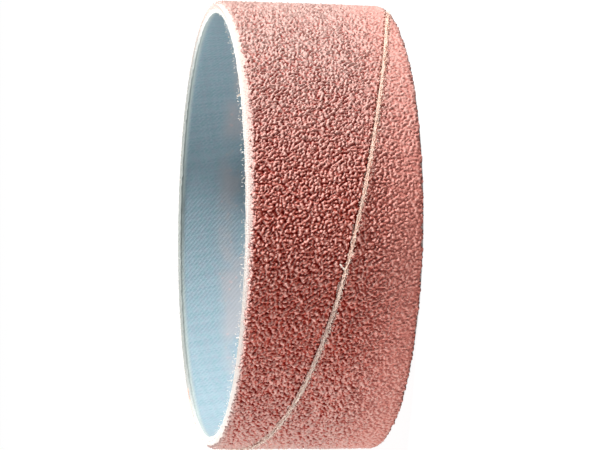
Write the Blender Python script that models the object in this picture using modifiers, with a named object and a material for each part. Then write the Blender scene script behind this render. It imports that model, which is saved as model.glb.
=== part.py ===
"""Abrasive spiral band: two plies of strip, wound as a spiral, glued and cut to width.

Metres, +Z up. The band stands on its end: its bore runs along Z and the middle of its
lower rim is the origin. Each ply is one strip whose two edges meet in a butt joint, so
the joint crosses the band at a slant from one rim to the other.
"""
import math

import bpy

# The finished band
BORE_DIAMETER = 0.076
BAND_WIDTH = 0.030

# The layers, from the bore outwards
LINER_THICKNESS = 0.0006
GLUE_FILM = 0.0003
BACKING_THICKNESS = 0.0005
GRAIN_THICKNESS = 0.0006

# The winding: the abrasive strip's width, and the slit where its edges meet
STRIP_WIDTH = 0.0533
JOINT_GAP = 0.0003
# Where each ply's joint meets the upper rim, counted from +X towards +Y
ABRASIVE_JOINT_ANGLE = math.radians(149.5)
LINER_JOINT_ANGLE = ABRASIVE_JOINT_ANGLE + math.pi

# The knife that parts the band breaks grain off along each rim
BARE_RIM_WIDTH = 0.0007
BARE_RIM_DEPTH = 0.00035

# How finely the band is made
STEPS_PER_TURN = 144
STEP_ANGLE = 2 * math.pi / STEPS_PER_TURN
KNIFE_OVERRUN = 0.001
WELD_DISTANCE = 0.000005
SHARP_ANGLE = math.radians(30)

# Radii of the surfaces that the layers share
LINER_RADIUS = BORE_DIAMETER / 2 + LINER_THICKNESS
STRIP_THICKNESS = BACKING_THICKNESS + GRAIN_THICKNESS
OUTER_RADIUS = LINER_RADIUS + GLUE_FILM + STRIP_THICKNESS

# A strip wound edge to edge climbs its own width, measured along the axis, in each turn
WINDING_ANGLE = math.asin(STRIP_WIDTH / (2 * math.pi * OUTER_RADIUS))
LEAD = STRIP_WIDTH / math.cos(WINDING_ANGLE)


def clear_scene():
    for obj in list(bpy.data.objects):
        bpy.data.objects.remove(obj, do_unlink=True)


def new_collection(name):
    collection = bpy.data.collections.new(name)
    bpy.context.scene.collection.children.link(collection)
    return collection


def plain_material(name, colour, roughness):
    material = bpy.data.materials.new(name)
    material.use_nodes = True
    shader = material.node_tree.nodes["Principled BSDF"]
    shader.inputs["Base Color"].default_value = (*colour, 1.0)
    shader.inputs["Roughness"].default_value = roughness
    shader.inputs["Metallic"].default_value = 0.0
    return material


def profile_object(name, points, closed, collection):
    """An outline in the XZ plane, given as (radius, height) pairs."""
    count = len(points)
    edges = [(i, i + 1) for i in range(count - 1)]
    if closed:
        edges.append((count - 1, 0))
    mesh = bpy.data.meshes.new(name)
    mesh.from_pydata([(radius, 0.0, height) for radius, height in points], edges, [])
    obj = bpy.data.objects.new(name, mesh)
    collection.objects.link(obj)
    return obj


def add_screw(obj, steps, climb_per_turn=0.0):
    """Turn a profile about Z, one step at a time, climbing as it goes."""
    turns = steps / STEPS_PER_TURN
    screw = obj.modifiers.new("Winding", 'SCREW')
    screw.axis = 'Z'
    screw.angle = 2 * math.pi * turns
    screw.screw_offset = climb_per_turn * turns
    screw.steps = steps
    screw.render_steps = steps
    screw.use_merge_vertices = climb_per_turn == 0.0
    screw.merge_threshold = 0.00001


def make_knife_ring(collection):
    """The ring that is kept when the band is parted from a long wound tube."""
    inner = BORE_DIAMETER / 2 - KNIFE_OVERRUN
    outer = OUTER_RADIUS + KNIFE_OVERRUN
    rim = OUTER_RADIUS - BARE_RIM_DEPTH
    slope = BARE_RIM_WIDTH / BARE_RIM_DEPTH
    shoulder = (outer - rim) * slope
    profile = [
        (inner, BAND_WIDTH),
        (rim, BAND_WIDTH),
        (outer, BAND_WIDTH - shoulder),
        (outer, shoulder),
        (rim, 0.0),
        (inner, 0.0),
    ]
    ring = profile_object("knife_ring", profile, True, collection)
    # Half a step off the strips' facets, so that no edge of the cut falls on an edge of theirs
    ring.rotation_euler.z = STEP_ANGLE / 2
    add_screw(ring, STEPS_PER_TURN)
    ring.hide_render = True
    ring.display_type = 'WIRE'
    return ring


def wind_strip(name, outer_radius, thickness, joint_angle, knife_ring, collection, material):
    """One ply: a strip wound down past both rims, given its thickness, then cut to width."""
    start_angle = math.floor(joint_angle / STEP_ANGLE) * STEP_ANGLE
    lower_edge = BAND_WIDTH + LEAD * (joint_angle - start_angle) / (2 * math.pi)
    upper_edge = lower_edge + LEAD - JOINT_GAP
    line = [(outer_radius, upper_edge), (outer_radius, lower_edge)]
    strip = profile_object(name, line, False, collection)
    strip.rotation_euler.z = start_angle
    add_screw(strip, math.ceil(upper_edge / LEAD * STEPS_PER_TURN), climb_per_turn=-LEAD)

    wall = strip.modifiers.new("Thickness", 'SOLIDIFY')
    wall.thickness = thickness
    wall.offset = -1.0
    wall.use_even_offset = True

    cut = strip.modifiers.new("Cut to width", 'BOOLEAN')
    cut.operation = 'INTERSECT'
    cut.solver = 'EXACT'
    cut.object = knife_ring

    # Where the cut runs along an edge of a facet it leaves slivers, which are closed here
    weld = strip.modifiers.new("Close slivers", 'WELD')
    weld.merge_threshold = WELD_DISTANCE

    bake_modifiers(strip, material)
    return strip


def bake_modifiers(obj, material):
    """Keep the modifiers' result as the object's own mesh, with smooth curved faces."""
    graph = bpy.context.evaluated_depsgraph_get()
    mesh = bpy.data.meshes.new_from_object(obj.evaluated_get(graph))
    mesh.name = obj.name
    obj.modifiers.clear()
    obj.data = mesh
    mesh.materials.clear()
    mesh.materials.append(material)
    mesh.shade_smooth()
    mesh.set_sharp_from_angle(angle=SHARP_ANGLE)


def main():
    clear_scene()
    parts = new_collection("abrasive_spiral_band")
    cutters = new_collection("cutters")
    knife_ring = make_knife_ring(cutters)

    wind_strip(
        "abrasive_strip", OUTER_RADIUS, STRIP_THICKNESS, ABRASIVE_JOINT_ANGLE, knife_ring,
        parts, plain_material("abrasive_grain", (0.37, 0.17, 0.13), 0.85),
    )
    wind_strip(
        "liner_strip", LINER_RADIUS, LINER_THICKNESS, LINER_JOINT_ANGLE, knife_ring,
        parts, plain_material("liner_cloth", (0.29, 0.42, 0.50), 0.9),
    )


main()
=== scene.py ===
# %% [markdown]
# An abrasive spiral band is a short tube that slips over a rubber drum. It has two plies: a
# thin blue cotton twill inside, and round it a strip of strong undyed cloth that carries a
# coat of coarse red-brown grain. Both strips are wound as a spiral, so each has a butt joint
# that crosses the band at a slant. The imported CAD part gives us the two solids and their
# exact place. Everything below is built around them, in the same metres and the same frame.

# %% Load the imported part
import math

import bpy
from mathutils import Matrix, Vector


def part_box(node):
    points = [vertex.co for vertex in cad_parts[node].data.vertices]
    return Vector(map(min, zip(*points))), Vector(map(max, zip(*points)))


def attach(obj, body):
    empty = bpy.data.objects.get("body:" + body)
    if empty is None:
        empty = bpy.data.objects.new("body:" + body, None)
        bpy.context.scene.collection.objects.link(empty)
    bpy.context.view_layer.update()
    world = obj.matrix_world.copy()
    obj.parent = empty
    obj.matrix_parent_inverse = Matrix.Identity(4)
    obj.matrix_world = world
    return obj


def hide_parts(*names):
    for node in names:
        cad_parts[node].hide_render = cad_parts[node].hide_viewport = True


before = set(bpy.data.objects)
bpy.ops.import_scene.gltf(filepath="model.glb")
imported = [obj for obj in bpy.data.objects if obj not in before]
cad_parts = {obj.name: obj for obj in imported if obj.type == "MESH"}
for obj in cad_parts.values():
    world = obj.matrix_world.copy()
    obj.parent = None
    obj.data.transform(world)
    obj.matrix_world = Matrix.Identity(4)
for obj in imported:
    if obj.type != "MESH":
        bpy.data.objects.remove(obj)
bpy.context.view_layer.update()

print("CAD nodes:", sorted(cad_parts))

# %% [markdown]
# The width comes from the CAD node itself. The radii of the layers and the way the plies are
# wound can't be read off a box, so they are repeated here as they are in the part's source.
# The two cloths meet in the middle of the part's glue film. The lead is how far a strip climbs
# in one full turn, and the winding angle is the slope at which it climbs.

# %% Measure the band
MM = 0.001
TURN = 2 * math.pi

BAND_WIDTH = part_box("abrasive_strip")[1].z
CLOTH_RADIUS = 39.4 * MM
PLY_RADIUS = 38.75 * MM
BORE_RADIUS = 38.0 * MM
# Each ply stops this far short of where they meet, so that no face lies on another
CLEARANCE = 0.01 * MM
# The knife presses each rim in by this much
RIM_LEAN = 0.25 * MM

LEAD = 54.5406 * MM
WINDING_ANGLE = math.radians(12.24)
WINDING_COSINE = 0.977
ABRASIVE_JOINT_ANGLE = math.radians(149.5)
LINER_JOINT_ANGLE = ABRASIVE_JOINT_ANGLE + math.pi


# %% [markdown]
# Geometry Nodes and shader nodes are both networks of small boxes. A formula such as
# radius * cos(angle) takes one Math node for each sign, which is long to write out. The class
# below wraps a node's output so that the usual signs add those Math nodes for us. It works in
# both kinds of tree, because they share the same Math node.

# %% Helpers for node trees
def fill(tree, socket, value):
    """Link a field or an output into a socket, or write a constant into it."""
    if isinstance(value, Field):
        value = value.socket
    if isinstance(value, bpy.types.NodeSocket):
        tree.links.new(value, socket)
    elif value is not None:
        socket.default_value = value


def put(tree, kind, inputs=None, **settings):
    """Add a node, set its properties, then fill the inputs that are named or numbered."""
    node = tree.nodes.new(kind)
    for name, value in settings.items():
        setattr(node, name, value)
    fill_all(tree, node, inputs or {})
    return node


def fill_all(tree, node, values):
    """Fill several inputs of one node, by name or number."""
    for name, value in values.items():
        fill(tree, node.inputs[name], value)


def maths(tree, operation, *terms):
    """One Math node, as a field that can stand in the next formula."""
    node = put(tree, 'ShaderNodeMath', dict(enumerate(terms)), operation=operation)
    return Field(tree, node.outputs[0])


class Field:
    """A number that varies over a surface: each + - * / between fields adds a Math node."""

    def __init__(self, tree, socket):
        self.tree = tree
        self.socket = socket

    def __add__(self, other):
        return maths(self.tree, 'ADD', self, other)

    def __sub__(self, other):
        return maths(self.tree, 'SUBTRACT', self, other)

    def __rsub__(self, other):
        return maths(self.tree, 'SUBTRACT', other, self)

    def __mul__(self, other):
        return maths(self.tree, 'MULTIPLY', self, other)

    def __truediv__(self, other):
        return maths(self.tree, 'DIVIDE', self, other)

    __radd__ = __add__
    __rmul__ = __mul__

    def call(self, operation, *others):
        """Any other Math operation, such as 'SINE', 'MINIMUM' or 'POWER'."""
        return maths(self.tree, operation, self, *others)


def rise(tree, value, low, high):
    """A smooth step: 0 where the value is at low, 1 where it is at high."""
    node = put(tree, 'ShaderNodeMapRange', {0: value, 1: low, 2: high},
               interpolation_type='SMOOTHSTEP')
    return Field(tree, node.outputs[0])


def vector(tree, x, y, z):
    return put(tree, 'ShaderNodeCombineXYZ', {0: x, 1: y, 2: z}).outputs[0]


def vectors(tree, operation, *terms):
    """One Vector Math node. SCALE takes its number as the last term."""
    node = put(tree, 'ShaderNodeVectorMath', operation=operation)
    for number, term in enumerate(terms):
        scaled = operation == 'SCALE' and number == 1
        fill(tree, node.inputs['Scale'] if scaled else node.inputs[number], term)
    return node.outputs[0]


def parts_of(tree, socket):
    """The three numbers of a vector, as fields."""
    node = put(tree, 'ShaderNodeSeparateXYZ', {0: socket})
    return [Field(tree, output) for output in node.outputs]


def noise(tree, place, size, detail=1.0, roughness=0.5):
    """Soft random lumps from 0 to 1 whose width is about the size given, in metres."""
    scale = maths(tree, 'DIVIDE', 1.0, size) if isinstance(size, Field) else 1.0 / size
    node = put(tree, 'ShaderNodeTexNoise', {
        'Vector': place, 'Scale': scale, 'Detail': detail, 'Roughness': roughness})
    return Field(tree, node.outputs[0])


def cells(tree, place, size):
    """A Voronoi node that parts space into cells about as wide as the size given."""
    return put(tree, 'ShaderNodeTexVoronoi', {
        'Vector': place, 'Scale': maths(tree, 'DIVIDE', 1.0, size)})


def new_tree(name, kind, inputs, outputs):
    """A node group, its inputs by name and its output node. Sockets are named by type."""
    tree = bpy.data.node_groups.new(name, kind)
    for way, sockets in (('INPUT', inputs), ('OUTPUT', outputs)):
        for socket_type, labels in sockets.items():
            for label in labels:
                tree.interface.new_socket(label, in_out=way, socket_type=socket_type)
    group_in = tree.nodes.new('NodeGroupInput')
    fields = {socket.name: Field(tree, socket) for socket in group_in.outputs}
    return tree, fields, tree.nodes.new('NodeGroupOutput')


FLOAT, INT, VECTOR = 'NodeSocketFloat', 'NodeSocketInt', 'NodeSocketVector'
GEOMETRY, MATERIAL = 'NodeSocketGeometry', 'NodeSocketMaterial'


# %% [markdown]
# Four of the trees below make geometry, and they share some steps. Two start from a flat grid
# and keep values on its points for the materials to read. Two grow threads along a line. All
# four end as one plain mesh with its material.

# %% Helpers for trees that make geometry
def here(tree):
    """Where each point is."""
    return put(tree, 'GeometryNodeInputPosition').outputs[0]


def unit_grid(tree, columns, rows):
    """A flat grid, and how far along each side its points are, from 0 to 1."""
    grid = put(tree, 'GeometryNodeMeshGrid', {
        'Size X': 1.0, 'Size Y': 1.0, 'Vertices X': columns, 'Vertices Y': rows})
    x, y, _ = parts_of(tree, here(tree))
    return grid.outputs['Mesh'], x + 0.5, y + 0.5


def store(tree, mesh, data_type, values):
    """Keep values on the mesh's points under their names."""
    for name, value in values.items():
        mesh = put(tree, 'GeometryNodeStoreNamedAttribute', {
            'Geometry': mesh, 'Name': name, 'Value': value},
            data_type=data_type, domain='POINT').outputs[0]
    return mesh


def away_from_axis(tree):
    """The level direction from the band's axis to each point."""
    x, y, _ = parts_of(tree, here(tree))
    return vectors(tree, 'NORMALIZE', vector(tree, x, y, 0.0))


def drift(tree, place, size, detail):
    """A random vector round zero that changes softly from place to place."""
    node = put(tree, 'ShaderNodeTexNoise', {
        'Vector': place, 'Scale': 1.0 / size, 'Detail': detail})
    return vectors(tree, 'SUBTRACT', node.outputs['Color'], (0.5, 0.5, 0.5))


def sweep(tree, curves, sides, thickness):
    """Give curves a section with this many sides, and closed ends."""
    section = put(tree, 'GeometryNodeCurvePrimitiveCircle', {
        'Resolution': sides, 'Radius': thickness * 0.5})
    tube = put(tree, 'GeometryNodeCurveToMesh', {
        'Curve': curves, 'Profile Curve': section.outputs[0], 'Fill Caps': True})
    return tube.outputs[0]


def deliver(tree, out, geometry, material):
    """End a tree with one plain mesh and its material."""
    whole = put(tree, 'GeometryNodeRealizeInstances', {'Geometry': geometry})
    dressed = put(tree, 'GeometryNodeSetMaterial', {
        'Geometry': whole.outputs[0], 'Material': material})
    fill(tree, out.inputs['Geometry'], dressed.outputs[0])


# %% [markdown]
# The next helpers look after objects. One hangs a Geometry Nodes tree on an object and sets
# its inputs by their identifiers, which never change, rather than by their names. One keeps
# the evaluated result as a plain mesh, so nothing is left live. One hands a finished piece to
# the frame: it rides on the body and stands for a CAD node. The last turns a screen colour
# into Blender's own.

# %% Helpers for pieces
def new_object(name, points=(), edges=()):
    mesh = bpy.data.meshes.new(name)
    mesh.from_pydata(points, edges, [])
    obj = bpy.data.objects.new(name, mesh)
    bpy.context.scene.collection.objects.link(obj)
    return obj


def grow(obj, tree, values):
    """Add the tree as a modifier and set its inputs."""
    modifier = obj.modifiers.new(tree.name, 'NODES')
    modifier.node_group = tree
    for item in tree.interface.items_tree:
        if item.in_out == 'INPUT' and item.name in values:
            modifier[item.identifier] = values[item.name]


def keep_result(obj):
    """Turn the modifiers' result into the object's own plain mesh."""
    graph = bpy.context.evaluated_depsgraph_get()
    mesh = bpy.data.meshes.new_from_object(
        obj.evaluated_get(graph), preserve_all_data_layers=True, depsgraph=graph)
    mesh.name = obj.name
    obj.modifiers.clear()
    obj.data = mesh


def hand_over(obj, node=None):
    """Give a finished piece to the frame."""
    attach(obj, "root")
    if node:
        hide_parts(node)
    triangles = sum(len(face.vertices) - 2 for face in obj.data.polygons)
    print(f"{obj.name}: {triangles} triangles, in the place of {node or 'no node'}")


def paint(red, green, blue):
    """A colour as it reads on a screen, 0 to 255, in the linear values that Blender mixes."""
    def linear(level):
        share = level / 255
        return share / 12.92 if share <= 0.04045 else ((share + 0.055) / 1.055) ** 2.4
    return (linear(red), linear(green), linear(blue), 1.0)


# %% [markdown]
# The photograph was taken with a long lens from in front of the open end and a little above
# it, with the camera turned on its side, so that the band seems to lie down. We aim an upright
# camera at the band first and then roll it about its own line of sight.

# %% Place the camera
CAMERA_PLACE = Vector((0.000217, -0.442216, 0.098052))
CAMERA_AIM = Vector((0.000200, -0.000300, 0.013400))
CAMERA_ROLL = math.radians(-89.18)
CAMERA_LENS = 150.246

camera = bpy.data.objects.new("camera", bpy.data.cameras.new("camera"))
bpy.context.scene.collection.objects.link(camera)
bpy.context.scene.camera = camera
camera.data.sensor_width = 36.0
camera.data.lens = CAMERA_LENS
camera.data.clip_start = 0.02
camera.data.clip_end = 20.0
aim = (CAMERA_AIM - CAMERA_PLACE).to_track_quat('-Z', 'Y').to_matrix().to_4x4()
camera.matrix_world = (
    Matrix.Translation(CAMERA_PLACE) @ aim @ Matrix.Rotation(CAMERA_ROLL, 4, 'Z'))
print("camera at", [round(1000 * x) for x in CAMERA_PLACE], "mm, lens", CAMERA_LENS, "mm")

# %% [markdown]
# The light is one soft key from the upper left of the picture, a weaker fill from below it, a
# long low lamp near the floor that brightens the bottom of the picture, and a plain pale
# world. An area lamp of P watts that faces a surface d metres away lights it
# P / (pi * d * d) watts a square metre, and a surface that gets pi of those shows its colour
# as it is written. That is how the strengths below were chosen.

# %% Set up the lights
MIDDLE = Vector((0.0, 0.0, BAND_WIDTH / 2))


def softbox(name, place, width, height, watts):
    """An area lamp that faces the middle of the band."""
    lamp = bpy.data.lights.new(name, 'AREA')
    lamp.shape = 'RECTANGLE'
    lamp.size = width
    lamp.size_y = height
    lamp.energy = watts
    obj = bpy.data.objects.new(name, lamp)
    bpy.context.scene.collection.objects.link(obj)
    turn = (MIDDLE - Vector(place)).to_track_quat('-Z', 'Y').to_matrix().to_4x4()
    obj.matrix_world = Matrix.Translation(place) @ turn


softbox("key_light", (0.82, -0.22, 0.70), width=0.18, height=0.18, watts=21.5)
softbox("fill_light", (-0.92, -0.10, 0.42), width=0.40, height=0.40, watts=6.0)
softbox("low_fill_light", (-0.92, -0.35, 0.035), width=0.50, height=0.05, watts=4.0)

world = bpy.data.worlds.new("studio")
bpy.context.scene.world = world
world.use_nodes = True
world.node_tree.nodes["Background"].inputs["Color"].default_value = (1.0, 1.0, 1.0, 1.0)
world.node_tree.nodes["Background"].inputs["Strength"].default_value = 0.14

bpy.context.scene.view_settings.view_transform = 'Standard'

# %% [markdown]
# The floor is a pale sheet. To a lamp it is an ordinary matt surface, so it throws light back
# at the band and holds its shadow. To the camera, and in reflections, part of it glows at just
# under the strength of white, so the background reads white without more light on the band.

# %% Lay the floor
FLOOR_REACH = 3.0
floor = new_object("floor")
floor.data.from_pydata(
    [(x * FLOOR_REACH, y * FLOOR_REACH, 0.0) for x, y in ((-1, -1), (1, -1), (1, 1), (-1, 1))],
    [], [(0, 1, 2, 3)])

floor_paint = bpy.data.materials.new("floor_paint")
floor_paint.use_nodes = True
floor_nodes = floor_paint.node_tree
floor_nodes.nodes.clear()
rays = put(floor_nodes, 'ShaderNodeLightPath')
seen = Field(floor_nodes, rays.outputs['Is Camera Ray']).call(
    'MAXIMUM', rays.outputs['Is Glossy Ray']).call('MAXIMUM', rays.outputs['Is Transmission Ray'])
matt = put(floor_nodes, 'ShaderNodeBsdfDiffuse', {'Color': paint(165, 165, 165)})
dim = put(floor_nodes, 'ShaderNodeBsdfDiffuse', {'Color': paint(120, 120, 120)})
glow = put(floor_nodes, 'ShaderNodeEmission', {'Color': (1.0, 1.0, 1.0, 1.0), 'Strength': 0.90})
lit = put(floor_nodes, 'ShaderNodeAddShader', {0: dim.outputs[0], 1: glow.outputs[0]})
shown = put(floor_nodes, 'ShaderNodeMixShader', {0: seen, 1: matt.outputs[0], 2: lit.outputs[0]})
put(floor_nodes, 'ShaderNodeOutputMaterial', {'Surface': shown.outputs[0]})
floor.data.materials.append(floor_paint)
print("floor", floor.dimensions[:])


# %% [markdown]
# Both plies are woven cloth. A weave is two sets of threads that pass over and under each
# other. Where each thread floats over two or more before it dips, the floats line up as the
# slanting ribs of twill. The group below draws them from a flat place on the cloth, in metres,
# so that the ribs follow the wound strip. The float sets how steep the ribs are, and a fine
# noise breaks up the threads so that no two floats look the same.

# %% A shader group for woven cloth
def make_weave_group():
    tree, given, out = new_tree('Woven cloth', 'ShaderNodeTree', {
        VECTOR: ['Place'], FLOAT: ['Weft Thread', 'Warp Thread', 'Float', 'Fuzz']},
        {FLOAT: ['Height', 'Shade', 'Rib']})
    place = given['Place'].socket
    wobble = noise(tree, place, 1.1 * MM, detail=2.0) - 0.5
    along, across, _ = parts_of(tree, place)
    weft = (along + wobble * 0.14 * MM) / given['Weft Thread']
    warp = (across + wobble * 0.10 * MM) / given['Warp Thread']
    # Which thread of each set this is, and where across it
    warp_place = warp.call('FRACT') - 0.5
    weft_place = weft.call('FRACT') - 0.5
    step = weft.call('FLOOR') - warp.call('FLOOR')
    phase = (step / given['Float']).call('FRACT') * given['Float']
    warp_on_top = phase.call('LESS_THAN', 0.9)
    # How fast a thread falls off to its sides, and a float to its ends, and how high weft lies
    side_fall, end_fall, weft_level = 3.4, 2.4, 0.62
    round_warp = 1.0 - warp_place * warp_place * side_fall
    round_weft = 1.0 - weft_place * weft_place * side_fall
    hump = 1.0 - weft_place * weft_place * end_fall
    crown = round_warp * hump * warp_on_top + round_weft * weft_level * (1.0 - warp_on_top)
    fuzz = noise(tree, place, 0.16 * MM, detail=3.0, roughness=0.7)
    height = crown + (fuzz - 0.5) * given['Fuzz']
    # Each thread has its own shade, and the weft's come from another part of the noise
    warp_shade = put(tree, 'ShaderNodeTexWhiteNoise', {'W': warp.call('FLOOR')},
                     noise_dimensions='1D')
    weft_shade = put(tree, 'ShaderNodeTexWhiteNoise', {'W': weft.call('FLOOR') + 77.0},
                     noise_dimensions='1D')
    shade = (Field(tree, warp_shade.outputs[0]) * warp_on_top
             + Field(tree, weft_shade.outputs[0]) * (1.0 - warp_on_top))
    fill(tree, out.inputs['Height'], height)
    fill(tree, out.inputs['Shade'], shade * 0.5 + fuzz * 0.5)
    # The slanting ribs as a soft wave, 1 on their crowns
    fill(tree, out.inputs['Rib'],
         ((weft - warp) / given['Float'] * TURN).call('COSINE') * 0.5 + 0.5)
    return tree


WOVEN_CLOTH = make_weave_group()
print("shader group:", WOVEN_CLOTH.name, [s.name for s in WOVEN_CLOTH.interface.items_tree])


# %% [markdown]
# Grain dust gets everywhere: into the lining, and onto the bare cloth where the strip was cut.
# The second group gives a mask of scattered specks, which each material mixes in with its own
# colour.

# %% A shader group for specks
def make_speck_group():
    tree, given, out = new_tree('Grain dust', 'ShaderNodeTree', {
        VECTOR: ['Place'], FLOAT: ['Speck Size', 'Amount']}, {FLOAT: ['Mask']})
    specks = cells(tree, given['Place'].socket, given['Speck Size'])
    picked = parts_of(tree, specks.outputs['Color'])[0].call('LESS_THAN', given['Amount'])
    near = 1.0 - rise(tree, Field(tree, specks.outputs['Distance']), 0.15, 0.55)
    fill(tree, out.inputs['Mask'], picked * near)
    return tree


GRAIN_DUST = make_speck_group()
print("shader group:", GRAIN_DUST.name, [s.name for s in GRAIN_DUST.interface.items_tree])


# %% [markdown]
# A material here starts with a matt Principled shader. The first helper makes that start, and
# small ones mix colours, run a ramp and fetch what the trees stored, so that each finish below
# reads as a recipe: a first colour, then one stain or dust after another laid over it.

# %% Helpers for finishes
def new_finish(name, specular=0.2, roughness=0.9):
    material = bpy.data.materials.new(name)
    material.use_nodes = True
    tree = material.node_tree
    shader = tree.nodes["Principled BSDF"]
    fill_all(tree, shader, {'Specular IOR Level': specular, 'Roughness': roughness})
    return material, tree, shader


def mix_colours(tree, factor, low, high):
    node = put(tree, 'ShaderNodeMix', {0: factor, 6: low, 7: high}, data_type='RGBA')
    return node.outputs[2]


def ramp(tree, factor, stops):
    """Colours at places from 0 to 1 along a scale."""
    node = put(tree, 'ShaderNodeValToRGB', {0: factor})
    scale = node.color_ramp.elements
    while len(scale) < len(stops):
        scale.new(0.5)
    for element, (place, colour) in zip(scale, stops):
        element.position = place
        element.color = colour
    return node.outputs[0]


def bump(tree, height, distance, strength):
    node = put(tree, 'ShaderNodeBump', {
        'Height': height, 'Distance': distance, 'Strength': strength})
    return node.outputs[0]


def stored(tree, name, output='Fac'):
    """A value that a Geometry Nodes tree kept on the mesh."""
    return put(tree, 'ShaderNodeAttribute', attribute_name=name).outputs[output]


def object_place(tree):
    """Where the surface is in the band's own frame, in metres."""
    return put(tree, 'ShaderNodeTexCoord').outputs['Object']


# %% [markdown]
# A ply is a strip whose two edges meet. Seen flat it is a parallelogram, so a square grid
# makes it: across the grid we go once round the band, from the joint back to the joint, and
# up the grid we go from rim to rim, while the joint's angle shifts with the height. A tree of
# nodes bends the grid round, crowds its cells at the edges, where the cut cloth is ragged,
# lets the rims lean in a little and can lift one edge of the joint. It keeps each point's
# place on the flat strip for the weave, and its distance from the rim and from both edges.

# %% A tree that winds a ply
def make_ply_tree():
    tree, given, out = new_tree('Wound ply', 'GeometryNodeTree', {
        FLOAT: ['Radius', 'Band Width', 'Lead', 'Joint Angle', 'Joint Gap', 'Ragged', 'Swell',
                'Edge Lift', 'Rim Lean'],
        INT: ['Steps Round', 'Steps Up'], MATERIAL: ['Material']}, {GEOMETRY: ['Geometry']})
    ply_radius, width, lead = given['Radius'], given['Band Width'], given['Lead']
    mesh, round_share, up_share = unit_grid(tree, given['Steps Round'], given['Steps Up'])

    def crowd(share, amount):
        """Move 0 to 1 so that the steps are finer at both ends."""
        eased = 0.5 - (share * math.pi).call('COSINE') * 0.5
        return share * (1.0 - amount) + eased * amount

    round_share, up_share = crowd(round_share, 0.75), crowd(up_share, 0.85)
    # Noise with 120 lumps round a rim and 26 along the joint
    rim_noise = noise(tree, vector(tree, round_share * 120.0, 0.0, 0.0), 1.0, detail=4.0) - 0.5
    joint_noise = noise(tree, vector(tree, up_share * 26.0, 5.0, 0.0), 1.0, detail=4.0) - 0.5

    # The rims are ragged: some of their points draw back from the cut
    from_middle = (up_share - 0.5).call('ABSOLUTE')
    at_rim = rise(tree, from_middle, 0.47, 0.5)
    outward = rise(tree, up_share, 0.4, 0.6) * 2.0 - 1.0
    height = width * up_share
    height = height - outward * at_rim * (rim_noise + 0.5) * given['Ragged']

    # The joint wavers, and its gap opens and closes
    gap_angle = given['Joint Gap'] / ply_radius
    opening = gap_angle * (0.5 + joint_noise * 1.6).call('MAXIMUM', 0.04)
    joint_here = given['Joint Angle'] + (width - height) / lead * TURN
    waver = joint_noise * 0.9 * MM / ply_radius
    angle = joint_here + waver + opening * 0.5 + round_share * (TURN - opening)
    cosine, sine = angle.call('COSINE'), angle.call('SINE')

    # How far a point is from the rim and from the strip's two edges
    along = (angle - given['Joint Angle']) * ply_radius
    from_rim = (0.5 - from_middle) * width
    climb = (lead / (ply_radius * TURN)).call('ARCTANGENT').call('SINE')
    strip_width = ply_radius * TURN * climb
    above_joint, below_joint = round_share * strip_width, (1.0 - round_share) * strip_width

    # The cloth swells in lumps about 2 mm wide, and below the joint its edge stands up, frayed
    swell = noise(tree, vector(tree, cosine * 20.0, sine * 20.0, height * 500.0), 1.0) - 0.5
    standing = rise(tree, below_joint - joint_noise * 0.9 * MM, 0.80 * MM, 0.45 * MM)
    lift = standing * (0.8 + joint_noise * 1.6) * given['Edge Lift']
    lift = lift * rise(tree, from_rim, 0.2 * MM, 2.0 * MM)
    lean = rise(tree, from_rim, 0.9 * MM, 0.0) * given['Rim Lean']
    radius = ply_radius + swell * given['Swell'] + lift - lean

    mesh = store(tree, mesh, 'FLOAT_VECTOR', {
        "strip_place": vector(tree, along, height, 0.0),
        "strip_edges": vector(tree, from_rim, above_joint, below_joint)})
    bent = put(tree, 'GeometryNodeSetPosition', {
        'Geometry': mesh, 'Position': vector(tree, cosine * radius, sine * radius, height)})
    deliver(tree, out, bent.outputs[0], given['Material'])
    return tree


WOUND_PLY = make_ply_tree()
print("tree:", WOUND_PLY.name, len(WOUND_PLY.nodes), "nodes")


def wind_ply(name, radius, thickness, material, values):
    """One ply: wound by the tree, thickened towards the bore and kept as a plain mesh."""
    ply = new_object(name)
    grow(ply, WOUND_PLY, {
        'Radius': radius, 'Band Width': BAND_WIDTH, 'Lead': LEAD, 'Rim Lean': RIM_LEAN,
        'Steps Round': 360, 'Steps Up': 24, 'Material': material, **values})
    wall = ply.modifiers.new("Thickness", 'SOLIDIFY')
    wall.thickness = thickness
    wall.offset = -1.0
    keep_result(ply)
    ply.data.shade_smooth()
    ply.data.set_sharp_from_angle(angle=math.radians(40))
    return ply
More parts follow.
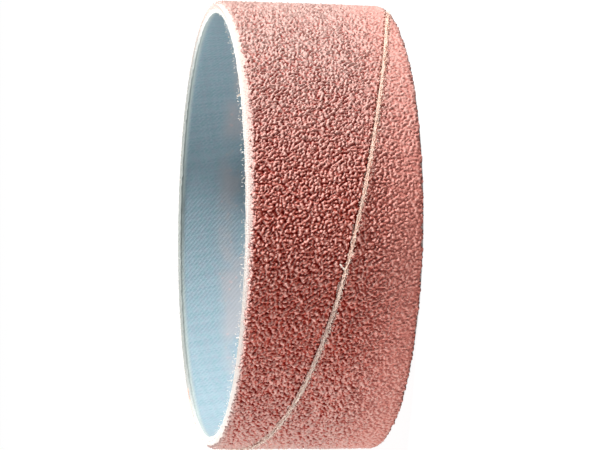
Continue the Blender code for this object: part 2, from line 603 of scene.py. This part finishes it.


# %% [markdown]
# The lining is a thin blue twill, dyed and a little faded. The key light rakes along it, so its
# ribs show as soft slanting lines. Dust from the grain has settled in patches as a pale grey
# stain further down the bore. The cut edge shows the white heart of the cotton, and at the
# back of the band the edge is painted greyer, as painted shade.

# %% The lining's finish
def make_lining():
    material, tree, shader = new_finish("blue_twill")
    spot = stored(tree, "strip_place", 'Vector')
    from_rim = parts_of(tree, stored(tree, "strip_edges", 'Vector'))[0]
    along, up, _ = parts_of(tree, spot)
    # The threads run along the wound strip, not level round the band
    cosine, sine = math.cos(WINDING_ANGLE), math.sin(WINDING_ANGLE)
    length, breadth = along * cosine - up * sine, along * sine + up * cosine
    weave = put(tree, 'ShaderNodeGroup', {
        'Place': vector(tree, length, breadth, 0.0), 'Weft Thread': 0.26 * MM,
        'Warp Thread': 0.33 * MM, 'Float': 3.0, 'Fuzz': 0.5}, node_tree=WOVEN_CLOTH)
    rib, shade = Field(tree, weave.outputs['Rib']), Field(tree, weave.outputs['Shade'])
    height = Field(tree, weave.outputs['Height']) * 0.4 + rib * 0.6
    blots = noise(tree, spot, 1.3 * MM, detail=4.0, roughness=0.7)
    patches = noise(tree, spot, 7.0 * MM, detail=2.0)
    colour = mix_colours(tree, shade, paint(128, 158, 172), paint(168, 192, 202))
    worn = rib * rise(tree, blots, 0.3, 0.6) * 0.20
    colour = mix_colours(tree, worn, colour, paint(206, 218, 224))
    colour = mix_colours(tree, rise(tree, blots, 0.44, 0.66) * 0.45, colour, paint(132, 168, 174))
    colour = mix_colours(tree, rise(tree, blots, 0.56, 0.34) * 0.45, colour, paint(164, 172, 184))
    # Patches of grain dust, rubbed in well below the upper rim
    stain = (rise(tree, up, 23.5 * MM, 20.5 * MM)
             * rise(tree, patches + blots * 0.4, 0.50, 0.80))
    colour = mix_colours(tree, stain * 0.75, colour, paint(184, 182, 186))
    dust = put(tree, 'ShaderNodeGroup', {
        'Place': spot, 'Speck Size': 0.8 * MM, 'Amount': 0.14}, node_tree=GRAIN_DUST)
    dusty = Field(tree, dust.outputs['Mask']) * (stain * 0.6 + 0.05)
    colour = mix_colours(tree, dusty * 0.8, colour, paint(206, 184, 184))
    # It is paler near the cut, and the cut edge itself is the white heart of the cotton
    cut = 1.0 - rise(tree, from_rim - blots * 0.8 * MM, 0.0, 1.1 * MM)
    colour = mix_colours(tree, cut * 0.8, colour, paint(212, 222, 216))
    heart = 1.0 - rise(tree, from_rim, 0.0, 0.12 * MM)
    colour = mix_colours(tree, heart, colour, paint(236, 240, 236))
    # Painted shade: at the back of the band the edge is painted greyer
    across = parts_of(tree, object_place(tree))[1]
    painted_shade_back_edge = (rise(tree, across, 5.0 * MM, 32.0 * MM)
                 * (1.0 - rise(tree, from_rim, 0.0, 0.5 * MM)))
    colour = mix_colours(tree, painted_shade_back_edge * 0.85, colour, paint(126, 134, 130))
    fill_all(tree, shader, {
        'Base Color': colour, 'Normal': bump(tree, height, 0.06 * MM, 0.4),
        'Sheen Weight': 0.5, 'Sheen Roughness': 0.4})
    return material


liner = wind_ply(
    "liner_cloth", PLY_RADIUS - CLEARANCE, PLY_RADIUS - CLEARANCE - BORE_RADIUS, make_lining(),
    {'Joint Angle': LINER_JOINT_ANGLE, 'Joint Gap': 0.15 * MM, 'Ragged': 0.40 * MM,
     'Swell': 0.0, 'Edge Lift': 0.0})
hand_over(liner, "liner_strip")


# %% [markdown]
# The cloth that carries the grain is undyed cotton. It shows only where the grain has been
# knocked off: in a ragged stripe along each rim, where the knife parted the band, and along
# the joint, where the strip's edges were trimmed. It is wound by the same tree.

# %% The carrying cloth
def make_undyed_cloth():
    material, tree, shader = new_finish("undyed_cloth")
    spot = stored(tree, "strip_place", 'Vector')
    from_rim, above_joint, below_joint = parts_of(tree, stored(tree, "strip_edges", 'Vector'))
    side, across, _ = parts_of(tree, object_place(tree))
    weave = put(tree, 'ShaderNodeGroup', {
        'Place': spot, 'Weft Thread': 0.30 * MM, 'Warp Thread': 0.30 * MM, 'Float': 2.0,
        'Fuzz': 0.6}, node_tree=WOVEN_CLOTH)
    colour = mix_colours(tree, Field(tree, weave.outputs['Shade']), paint(238, 226, 218),
                         paint(255, 250, 245))
    # It is made pinker and duller towards +X
    x_side_tone = rise(tree, side, -2.0 * MM, 30.0 * MM)
    colour = mix_colours(tree, x_side_tone * 0.8, colour, paint(226, 202, 194))
    # Painted shade: the cut face is painted greyer at the back of the band
    painted_shade_back = rise(tree, across, 5.0 * MM, 32.0 * MM)
    colour = mix_colours(tree, painted_shade_back * 0.9, colour, paint(158, 162, 158))
    # Just above the joint the edge is grey: glue with grinding dust, and painted shade
    glue_and_painted_shade = ((1.0 - rise(tree, above_joint, 0.10 * MM, 0.35 * MM))
               * rise(tree, side, -30.0 * MM, 10.0 * MM))
    colour = mix_colours(tree, glue_and_painted_shade * 0.7, colour, paint(182, 164, 144))
    # Just below it lies the cream line of the joint, broken by red dust
    at_joint = 1.0 - rise(tree, below_joint, 0.9 * MM, 1.2 * MM)
    colour = mix_colours(tree, at_joint * 0.8, colour, paint(255, 224, 204))
    # Painted light: towards -X the cream line is painted paler
    painted_light_minus_x = at_joint * rise(tree, side, 0.0, -24.0 * MM)
    colour = mix_colours(tree, painted_light_minus_x * 0.7, colour, paint(255, 246, 236))
    crumbs = noise(tree, spot, 0.34 * MM, detail=3.0, roughness=0.7)
    crumbs = (crumbs + rise(tree, below_joint, 0.1 * MM, 0.8 * MM) * 0.12
              + rise(tree, side, 0.0, -30.0 * MM) * 0.06)
    crumbs = at_joint * rise(tree, crumbs, 0.54, 0.64)
    colour = mix_colours(tree, crumbs * 0.7, colour, paint(196, 128, 112))
    # Grain dust and powder lie on the stripe inside the cut edge of each rim
    dust = put(tree, 'ShaderNodeGroup', {
        'Place': spot, 'Speck Size': 0.26 * MM, 'Amount': 0.45}, node_tree=GRAIN_DUST)
    at_rim = rise(tree, from_rim, 0.30 * MM, 1.00 * MM)
    colour = mix_colours(tree, Field(tree, dust.outputs['Mask']) * at_rim * 0.9, colour,
                         paint(140, 100, 92))
    colour = mix_colours(tree, at_rim * 0.45, colour, paint(236, 196, 184))
    fill_all(tree, shader, {
        'Base Color': colour,
        'Normal': bump(tree, weave.outputs['Height'], 0.08 * MM, 0.8)})
    return material


backing = wind_ply(
    "backing_cloth", CLOTH_RADIUS, CLOTH_RADIUS - PLY_RADIUS - CLEARANCE, make_undyed_cloth(),
    {'Joint Angle': ABRASIVE_JOINT_ANGLE, 'Joint Gap': 0.3 * MM, 'Ragged': 0.22 * MM,
     'Swell': 0.05 * MM, 'Edge Lift': 0.40 * MM})
hand_over(backing, "abrasive_strip")


# %% [markdown]
# The coat of grain is what the eye meets first. Its grains are lumps 0.4 to 0.5 mm across,
# sunk in resin beside their neighbours. A bump map would look painted on at the outline, so
# the lumps are real geometry: a fine grid is bent round the band and raised by soft noise,
# drawn out along a slant, with faint facets from Voronoi cells. The grain is missing in whole
# cells along the rims and the joint. One mesh would be too heavy, so the coat is made as four
# rings that share one pattern and meet without a step.

# %% A tree that grows the coat of grain
def make_coat_tree():
    tree, given, out = new_tree('Coat of grain', 'GeometryNodeTree', {
        FLOAT: ['Cloth Radius', 'Resin', 'Relief', 'Grain Size', 'Facet Size', 'Streak', 'Low',
                'High', 'Band Width', 'Lead', 'Joint Angle', 'Rim Lean', 'Bare Upper Rim',
                'Bare Lower Rim', 'Wide Side', 'Bare Above', 'Bare Below'],
        INT: ['Steps Round', 'Steps Up'], MATERIAL: ['Material']}, {GEOMETRY: ['Geometry']})
    cloth, steps_up = given['Cloth Radius'], given['Steps Up']
    width, lead, joint_angle = given['Band Width'], given['Lead'], given['Joint Angle']

    # Once round, and up the outside and down the inside, with the last row on the first
    mesh, round_share, row_share = unit_grid(tree, given['Steps Round'] + 1.0, steps_up + 4.0)
    row = (row_share * (steps_up + 3.0)).call('ROUND')
    up_share = ((row / steps_up).call('MINIMUM', 1.0)
                * row.call('LESS_THAN', steps_up + 1.5))
    inside = (row - steps_up - 1.5).call('ABSOLUTE').call('LESS_THAN', 1.0)
    angle = round_share * TURN
    cosine, sine = angle.call('COSINE'), angle.call('SINE')
    height = given['Low'] + (given['High'] - given['Low']) * up_share
    place = vector(tree, cosine * cloth, sine * cloth, height)

    # The same place on the unrolled strip, which breaks off only at the joint
    turned = (angle - joint_angle) / TURN - (width - height) / lead
    unrolled = (angle - turned.call('FLOOR') * TURN) * cloth
    slant = math.radians(35)
    streaked = vector(
        tree, (unrolled * math.sin(slant) - height * math.cos(slant)) / given['Streak'],
        unrolled * math.cos(slant) + height * math.sin(slant), 0.0)

    # The lumps, smaller chips on them, broad clumps under them, and the facets' domes
    facets = cells(tree, place, given['Facet Size'])
    tint = parts_of(tree, facets.outputs['Color'])[0]
    dome = 1.0 - Field(tree, facets.outputs['Distance']) * 1.4
    size = given['Grain Size']
    lumps = noise(tree, streaked, size, detail=0.0) - 0.5
    chips = noise(tree, streaked, size * 0.5, detail=0.0) - 0.5
    clumps = noise(tree, place, size * 3.0, detail=1.0) - 0.5
    top = rise(tree, 0.50 + lumps * 1.5 + chips * 0.70 + clumps * 0.45 + (dome - 0.5) * 0.30,
               -0.15, 1.15)

    # How far the cell's middle is from the rims and the joint decides if the grain is there
    middle = facets.outputs['Position']
    middle_x, middle_y, middle_z = parts_of(tree, middle)
    ragged = noise(tree, middle, 0.9 * MM, detail=3.0, roughness=0.7)
    from_rim = middle_z.call('MINIMUM', width - middle_z)
    upper = (middle_z / width).call('GREATER_THAN', 0.5)
    around = (maths(tree, 'ARCTAN2', middle_y, middle_x) - joint_angle) / TURN
    winding = around - (width - middle_z) / lead
    above = (winding - winding.call('ROUND')) * lead * WINDING_COSINE
    is_above = above.call('GREATER_THAN', 0.0)
    bare_joint = given['Bare Above'] * is_above + given['Bare Below'] * (1.0 - is_above)
    # The bare stripe along the upper rim is nearly twice as wide on one side of the band
    facing = (around * TURN - given['Wide Side']).call('COSINE').call('MAXIMUM', 0.0)
    wander = 1.0 + facing.call('POWER', 4.0) * 0.9
    bare_rim = given['Bare Upper Rim'] * wander * upper + given['Bare Lower Rim'] * (1.0 - upper)
    off_rim = rise(tree, from_rim - bare_rim * (ragged * 1.6 + 0.2), 0.0, 0.1 * MM)
    off_joint = rise(tree, above.call('ABSOLUTE') - bare_joint * (ragged * 2.4 - 0.2),
                     0.0, 0.05 * MM)
    kept = off_rim.call('MINIMUM', off_joint)

    # Towards the lower rim the grain is flatter, and where it is missing the coat dips into
    # the cloth. The inside of the shell lies deeper still.
    worn = 1.0 - rise(tree, height, 11.0 * MM, 1.0 * MM) * 0.45
    surface = cloth + given['Resin'] + given['Relief'] * (top * worn + 0.55 * (1.0 - worn))
    sunk = cloth - 0.12 * MM
    outer = surface * kept + sunk * (1.0 - kept)
    radius = outer * (1.0 - inside) + (cloth - 0.16 * MM) * inside
    to_rim = height.call('MINIMUM', width - height)
    radius = radius - rise(tree, to_rim, 0.9 * MM, 0.0) * given['Rim Lean']

    edge = (width - height) - bare_rim * 0.8
    mesh = store(tree, mesh, 'FLOAT', {
        "grain_height": top * kept, "grain_tint": tint, "grain_edge": edge})
    mesh = put(tree, 'GeometryNodeSetPosition', {
        'Geometry': mesh,
        'Position': vector(tree, cosine * radius, sine * radius, height)}).outputs[0]
    mesh = put(tree, 'GeometryNodeMergeByDistance', {
        'Geometry': mesh, 'Distance': 0.001 * MM}).outputs[0]
    mesh = put(tree, 'GeometryNodeSetShadeSmooth', {
        'Geometry': mesh, 'Shade Smooth': True}).outputs[0]
    deliver(tree, out, mesh, given['Material'])
    return tree


COAT_OF_GRAIN = make_coat_tree()
print("tree:", COAT_OF_GRAIN.name, len(COAT_OF_GRAIN.nodes), "nodes")


# %% [markdown]
# Red-brown grain is dark and saturated down between the lumps, partly where resin has pooled
# and partly as painted shade, and pale pink on the worn tops, partly the crystals' own colour
# and partly painted highlight. The height that the tree stored drives that ramp, and each facet
# has a tint of its own. Then come the layers: a painted highlight on the flanks that face up,
# cotton dust next to the cut, a painted highlight on the tops on the two sides that the X axis
# passes through, and painted light that makes the grain paler along the lower rim.

# %% The grain's finish
def make_bonded_grain():
    material, tree, shader = new_finish("bonded_grain", specular=0.02)
    height = Field(tree, stored(tree, "grain_height"))
    tint = Field(tree, stored(tree, "grain_tint"))
    edge = Field(tree, stored(tree, "grain_edge"))
    spot = object_place(tree)
    side, _, up = parts_of(tree, spot)
    fine = noise(tree, spot, 0.20 * MM, detail=2.0, roughness=0.6)
    broad = noise(tree, spot, 9.0 * MM, detail=2.0)
    level = height + (fine - 0.5) * 0.25 + (tint - 0.5) * 0.12 + (broad - 0.5) * 0.15
    # Painted shade and highlight: towards -X the pits are painted darker and the tops paler
    level = (level - 0.5) * (1.0 + rise(tree, side, -14.0 * MM, -34.0 * MM) * 0.8) + 0.5
    # Painted shade in the pits and painted highlight on the tops, over the resin's and crystals'
    # own colours
    colour = ramp(tree, level, [
        (0.00, paint(110, 10, 4)), (0.24, paint(160, 52, 40)), (0.48, paint(192, 98, 84)),
        (0.75, paint(212, 136, 123)), (1.0, paint(230, 174, 162))])
    # Painted highlight: the flanks that face up, towards the key light, are painted pale
    facing = parts_of(tree, put(tree, 'ShaderNodeNewGeometry').outputs['Normal'])[2]
    painted_lit_flanks = rise(tree, facing, -0.10, 0.60) * rise(tree, height, 0.05, 0.45) * 0.50
    colour = mix_colours(tree, painted_lit_flanks, colour, paint(244, 204, 194))
    # Cotton dust clings to the grain next to a cut edge
    fringe = (1.0 - rise(tree, edge, 0.1 * MM, 0.9 * MM)) * rise(tree, fine, 0.35, 0.60)
    colour = mix_colours(tree, fringe * 0.8, colour, paint(246, 222, 214))
    # Painted highlight: the tops are painted pale on the two sides that the X axis passes through
    high_side = rise(tree, side, 0.0, 34.0 * MM)
    low_side = rise(tree, side, -18.0 * MM, -42.0 * MM)
    x_side_tone = (high_side * rise(tree, height + broad * 0.2, 0.10, 0.70) * 0.80
              + low_side * rise(tree, height, 0.30, 0.75) * 0.75)
    colour = mix_colours(tree, x_side_tone, colour, paint(202, 176, 168))
    # Painted light: the grain is painted a little paler towards the lower rim
    painted_light_low_rim = rise(tree, up, 13.0 * MM, 2.0 * MM) * 0.40
    colour = mix_colours(tree, painted_light_low_rim, colour, paint(222, 158, 146))
    fill_all(tree, shader, {
        'Base Color': colour, 'Normal': bump(tree, fine, 0.04 * MM, 1.0),
        'Roughness': 0.60 - height * 0.15, 'Sheen Weight': 0.12, 'Sheen Roughness': 0.4,
        'Sheen Tint': paint(255, 232, 226)})
    return material


BONDED_GRAIN = make_bonded_grain()
RINGS = ("lowest", "lower", "upper", "highest")
# The coat stops short of both cut ends of the cloth
COAT_LOW, COAT_HIGH = 0.05 * MM, BAND_WIDTH - 0.24 * MM
for number, name in enumerate(RINGS):
    coat = new_object("grain_coat_" + name)
    low = COAT_LOW + (COAT_HIGH - COAT_LOW) * number / len(RINGS)
    high = COAT_LOW + (COAT_HIGH - COAT_LOW) * (number + 1) / len(RINGS)
    grow(coat, COAT_OF_GRAIN, {
        'Cloth Radius': CLOTH_RADIUS, 'Resin': 0.06 * MM, 'Relief': 0.58 * MM,
        'Grain Size': 0.36 * MM, 'Facet Size': 0.42 * MM, 'Streak': 1.5,
        'Low': low, 'High': high, 'Steps Round': 1760, 'Steps Up': 52,
        'Band Width': BAND_WIDTH, 'Lead': LEAD, 'Joint Angle': ABRASIVE_JOINT_ANGLE,
        'Bare Upper Rim': 0.74 * MM, 'Bare Lower Rim': 0.12 * MM, 'Rim Lean': RIM_LEAN,
        'Wide Side': math.radians(-55) - ABRASIVE_JOINT_ANGLE,
        'Bare Above': 0.18 * MM, 'Bare Below': 0.68 * MM, 'Material': BONDED_GRAIN})
    keep_result(coat)
    coat.data.set_sharp_from_angle(angle=math.radians(50))
    hand_over(coat, "abrasive_strip")


# %% [markdown]
# Where the strip's edge was trimmed, its outermost threads have come loose and lie along the
# joint, which is what makes the joint so plain to see. A line along the joint is enough for
# the modeller: the tree copies it once for each strand, twists the copies about the line, lets
# them stray and gives them thickness.

# %% A tree that twists threads along a line
def make_thread_tree():
    tree, given, out = new_tree('Twisted thread', 'GeometryNodeTree', {
        GEOMETRY: ['Geometry'], INT: ['Strands'], MATERIAL: ['Material'],
        FLOAT: ['Strand Thickness', 'Twist Radius', 'Twist Pitch', 'Stray', 'Step']},
        {GEOMETRY: ['Geometry']})
    line = put(tree, 'GeometryNodeMeshToCurve', {'Mesh': given['Geometry']})
    fine = put(tree, 'GeometryNodeResampleCurve', {
        'Curve': line.outputs[0], 'Length': given['Step']}, mode='LENGTH')
    copies = put(tree, 'GeometryNodeDuplicateElements', {
        'Geometry': fine.outputs[0], 'Amount': given['Strands']}, domain='SPLINE')
    number = Field(tree, copies.outputs['Duplicate Index'])
    outward = away_from_axis(tree)
    tangent = put(tree, 'GeometryNodeInputTangent').outputs[0]
    sideways = vectors(tree, 'CROSS_PRODUCT', tangent, outward)
    gone = Field(tree, put(tree, 'GeometryNodeSplineParameter').outputs['Length'])
    turn = (gone / given['Twist Pitch'] + number / given['Strands']) * TURN
    # The twist is flattened against the band
    lift = turn.call('COSINE') * given['Twist Radius'] * 0.6
    aside = turn.call('SINE') * given['Twist Radius']
    offset = vectors(tree, 'ADD', vectors(tree, 'SCALE', outward, lift),
                     vectors(tree, 'SCALE', sideways, aside))
    stray = drift(tree, vector(tree, gone, number * 0.1, 0.0), 1.1 * MM, 2.0)
    offset = vectors(tree, 'ADD', offset, vectors(tree, 'SCALE', stray, given['Stray'] * 2.0))
    moved = put(tree, 'GeometryNodeSetPosition', {
        'Geometry': copies.outputs['Geometry'], 'Offset': offset})
    deliver(tree, out, sweep(tree, moved.outputs[0], 5, given['Strand Thickness']),
            given['Material'])
    return tree


TWISTED_THREAD = make_thread_tree()
print("tree:", TWISTED_THREAD.name, len(TWISTED_THREAD.nodes), "nodes")


# %% [markdown]
# The loose ends of the cotton stand out from the cut edges as a fine fuzz. Each is one short
# curved fibre. The tree takes roots at random along a line, points every fibre outwards, up
# and a little at random, bends it with noise and gives it thickness.

# %% A tree that frays an edge
def make_fray_tree():
    tree, given, out = new_tree('Frayed fibres', 'GeometryNodeTree', {
        GEOMETRY: ['Geometry'], INT: ['Fibres', 'Seed'], MATERIAL: ['Material'],
        FLOAT: ['Length', 'Thickness', 'Root Spread', 'Outward', 'Upward', 'Wildness', 'Bend']},
        {GEOMETRY: ['Geometry']})

    def random_vector(seed):
        """Three numbers from -1 to 1, with their own draw for each fibre."""
        node = put(tree, 'FunctionNodeRandomValue', {
            'Min': (-1.0,) * 3, 'Max': (1.0,) * 3, 'Seed': given['Seed'] + seed},
            data_type='FLOAT_VECTOR')
        return node.outputs[0]

    line = put(tree, 'GeometryNodeMeshToCurve', {'Mesh': given['Geometry']})
    roots = put(tree, 'GeometryNodeCurveToPoints', {
        'Curve': line.outputs[0], 'Count': given['Fibres']}, mode='COUNT')
    spread = put(tree, 'GeometryNodeSetPosition', {
        'Geometry': roots.outputs['Points'],
        'Offset': vectors(tree, 'SCALE', random_vector(1), given['Root Spread'])})
    way = vectors(tree, 'ADD', vectors(tree, 'SCALE', away_from_axis(tree), given['Outward']),
                  vector(tree, 0.0, 0.0, given['Upward']))
    way = vectors(tree, 'ADD', way, vectors(tree, 'SCALE', random_vector(2), given['Wildness']))
    turned = put(tree, 'FunctionNodeAlignRotationToVector', {'Vector': way}, axis='Z')
    shrink = put(tree, 'FunctionNodeRandomValue', {2: 0.25, 3: 1.0, 'Seed': given['Seed'] + 3})
    straight = put(tree, 'GeometryNodeCurvePrimitiveLine', {
        'Start': (0.0, 0.0, 0.0), 'End': vector(tree, 0.0, 0.0, given['Length'])})
    fibre = put(tree, 'GeometryNodeResampleCurve', {'Curve': straight.outputs[0], 'Count': 6})
    fibres = put(tree, 'GeometryNodeInstanceOnPoints', {
        'Points': spread.outputs[0], 'Instance': fibre.outputs[0],
        'Rotation': turned.outputs[0],
        'Scale': vector(tree, 1.0, 1.0, Field(tree, shrink.outputs[1]))})
    curves = put(tree, 'GeometryNodeRealizeInstances', {'Geometry': fibres.outputs[0]})
    # The bend grows from nothing at the root to its most at the tip
    curl = drift(tree, here(tree), 0.7 * MM, 1.0)
    tip = Field(tree, put(tree, 'GeometryNodeSplineParameter').outputs['Factor'])
    bent = put(tree, 'GeometryNodeSetPosition', {
        'Geometry': curves.outputs[0],
        'Offset': vectors(tree, 'SCALE', curl, tip * given['Length'] * given['Bend'] * 2.0)})
    deliver(tree, out, sweep(tree, bent.outputs[0], 3, given['Thickness']), given['Material'])
    return tree


FRAYED_FIBRES = make_fray_tree()
print("tree:", FRAYED_FIBRES.name, len(FRAYED_FIBRES.nodes), "nodes")


# %% [markdown]
# Cotton that has been pulled out of the cloth is paler than the cloth, and matt, with a soft
# bright edge where its fuzz catches the light. There are two cottons: a clean one at the rim,
# and one along the joint that red dust has tinted. Both have painted light: they are painted
# paler towards -X.

# %% Loose cotton
def make_loose_cotton(name, dusty, plain, bright):
    material, tree, shader = new_finish(name)
    spot = object_place(tree)
    mottle = noise(tree, spot, 0.5 * MM, detail=3.0, roughness=0.6)
    colour = ramp(tree, mottle, [(0.28, dusty), (0.42, plain), (0.62, bright)])
    # Painted light: both cottons are painted paler towards -X
    side = parts_of(tree, spot)[0]
    colour = mix_colours(tree, rise(tree, side, 0.0, -24.0 * MM) * 0.7, colour,
                         paint(255, 244, 232))
    fill_all(tree, shader, {
        'Base Color': colour, 'Normal': bump(tree, mottle, 0.02 * MM, 0.5),
        'Sheen Weight': 0.3})
    return material


LOOSE_COTTON = make_loose_cotton(
    "loose_cotton", paint(226, 180, 160), paint(250, 234, 214), paint(255, 253, 248))
DUSTY_COTTON = make_loose_cotton(
    "dusty_cotton", paint(232, 174, 150), paint(252, 216, 196), paint(255, 234, 218))
print("materials:", LOOSE_COTTON.name, DUSTY_COTTON.name)


# %% [markdown]
# Now the lines to grow cotton on. Two run along the joint, one for the twisted thread and one
# for the lint that stands off it, and one runs round the upper rim, whose fuzz the photo
# shows. A few stray threads are given one by one: the small tuft halfway along the joint, and
# three ends that stand up from the rim.

# %% Loose threads along the joint and the rim
THREAD_RADIUS = CLOTH_RADIUS + 0.58 * MM


def joint_line(aside, low, high, count=90):
    """Points along the outer joint, moved aside in its surface towards the upper rim."""
    climb = math.atan(LEAD / (TURN * THREAD_RADIUS))
    points = []
    for number in range(count):
        height = low + (high - low) * number / (count - 1)
        angle = (ABRASIVE_JOINT_ANGLE + (BAND_WIDTH - height) / LEAD * TURN
                 + aside * math.sin(climb) / THREAD_RADIUS)
        points.append((THREAD_RADIUS * math.cos(angle), THREAD_RADIUS * math.sin(angle),
                       height + aside * math.cos(climb)))
    return points


def rim_line(radius, height, count=180):
    """Points once round the band."""
    angles = [TURN * number / (count - 1) for number in range(count)]
    return [(radius * math.cos(a), radius * math.sin(a), height) for a in angles]


def on_cloth(degrees, height, lift):
    """A point above the cloth, from its angle and from its height and lift in millimetres."""
    angle, radius = math.radians(degrees), CLOTH_RADIUS + lift * MM
    return (radius * math.cos(angle), radius * math.sin(angle), height * MM)


def grow_cotton(name, lines, tree, values):
    """Grow threads or fibres along lines of points, and hand the piece over."""
    points, edges = [], []
    for line in lines:
        first = len(points)
        edges += [(first + number, first + number + 1) for number in range(len(line) - 1)]
        points += line
    piece = new_object(name, points, edges)
    grow(piece, tree, values)
    keep_result(piece)
    # The fibres are too fine to need smooth faces
    if tree == TWISTED_THREAD:
        piece.data.shade_smooth()
    hand_over(piece)


grow_cotton("joint_thread", [joint_line(-0.30 * MM, 0.9 * MM, BAND_WIDTH - 0.7 * MM)],
            TWISTED_THREAD, {
    'Strands': 3, 'Strand Thickness': 0.11 * MM, 'Twist Radius': 0.16 * MM,
    'Twist Pitch': 6.0 * MM, 'Stray': 0.60 * MM, 'Step': 0.22 * MM, 'Material': DUSTY_COTTON})

grow_cotton("joint_lint", [joint_line(-0.34 * MM, 1.0 * MM, BAND_WIDTH - 1.0 * MM)],
            FRAYED_FIBRES, {
    'Fibres': 1500, 'Length': 0.50 * MM, 'Thickness': 0.09 * MM, 'Root Spread': 0.50 * MM,
    'Outward': 0.25, 'Upward': 0.0, 'Wildness': 1.0, 'Bend': 0.7, 'Seed': 3,
    'Material': DUSTY_COTTON})

grow_cotton("rim_fray_upper", [rim_line(38.7 * MM, BAND_WIDTH - 0.15 * MM)], FRAYED_FIBRES, {
    'Fibres': 1500, 'Length': 0.38 * MM, 'Thickness': 0.07 * MM, 'Root Spread': 0.55 * MM,
    'Outward': 0.0, 'Upward': 0.6, 'Wildness': 0.9, 'Bend': 0.7, 'Seed': 11,
    'Material': LOOSE_COTTON})

# The tuft on the joint, then the three ends at the rim
STRAYS = (
    ((-100.3, 13.2, 0.55), (-99.5, 13.7, 0.80), (-98.8, 14.2, 0.90)),
    ((-60.5, 29.2, -0.20), (-60.0, 30.2, -0.60)),
    ((-55.8, 29.4, -0.20), (-56.2, 30.3, -0.60)),
    ((-118.0, 29.4, -0.20), (-118.6, 30.3, -0.60)),
)
grow_cotton("stray_threads", [[on_cloth(*point) for point in line] for line in STRAYS],
            TWISTED_THREAD, {
    'Strands': 4, 'Strand Thickness': 0.09 * MM, 'Twist Radius': 0.10 * MM,
    'Twist Pitch': 1.8 * MM, 'Stray': 0.22 * MM, 'Step': 0.12 * MM, 'Material': LOOSE_COTTON})
